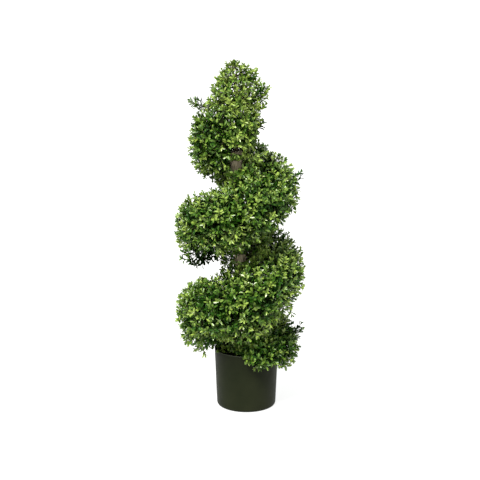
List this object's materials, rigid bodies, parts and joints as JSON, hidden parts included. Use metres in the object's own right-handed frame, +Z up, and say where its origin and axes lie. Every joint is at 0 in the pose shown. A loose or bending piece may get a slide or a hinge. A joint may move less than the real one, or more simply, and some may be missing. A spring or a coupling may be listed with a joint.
{
  "type": "artificial boxwood spiral topiary in a nursery pot",
  "caption": "Potted spiral topiary: a leaning wooden pole in a round plastic pot, wound by a rising band of small-leaved artificial boxwood that narrows to a leafy tip.",
  "frame": {"origin": "centre of the pot's flat underside", "axes": "+Z up along the plant, -Y towards the front, +X to the right seen from the front"},
  "size_m": [0.4035, 0.4047, 1.067],
  "materials": {
    "pot_plastic": "dark olive-black nursery pot plastic, faintly mottled",
    "dark_filling": "near-black moulded filling",
    "bark_wood": "grey-brown bark with a paler cut top",
    "boxwood_leaves": "satin moulded leaves, dark green with yellow-green tips"
  },
  "bodies": {
    "root": {"foliage_lower_back_left": "boxwood_leaves", "foliage_lower_back_right": "boxwood_leaves", "foliage_lower_front_left": "boxwood_leaves", "foliage_lower_front_right": "boxwood_leaves", "foliage_lower_left": "boxwood_leaves", "foliage_lower_right": "boxwood_leaves", "foliage_middle_back_left": "boxwood_leaves", "foliage_middle_back_right": "boxwood_leaves", "foliage_middle_front_left": "boxwood_leaves", "foliage_middle_front_right": "boxwood_leaves", "foliage_middle_left": "boxwood_leaves", "foliage_middle_right": "boxwood_leaves", "foliage_tip_tuft": "boxwood_leaves", "foliage_top_back_left": "boxwood_leaves", "foliage_top_back_right": "boxwood_leaves", "foliage_top_front_right": "boxwood_leaves", "foliage_top_right": "boxwood_leaves", "foliage_upper_back_left": "boxwood_leaves", "foliage_upper_back_right": "boxwood_leaves", "foliage_upper_front_left": "boxwood_leaves", "foliage_upper_front_right": "boxwood_leaves", "foliage_upper_left": "boxwood_leaves", "foliage_upper_right": "boxwood_leaves", "leader": "bark_wood", "pot": "pot_plastic", "pot_filling": "dark_filling", "trunk": "bark_wood"}
  },
  "joints": []
}
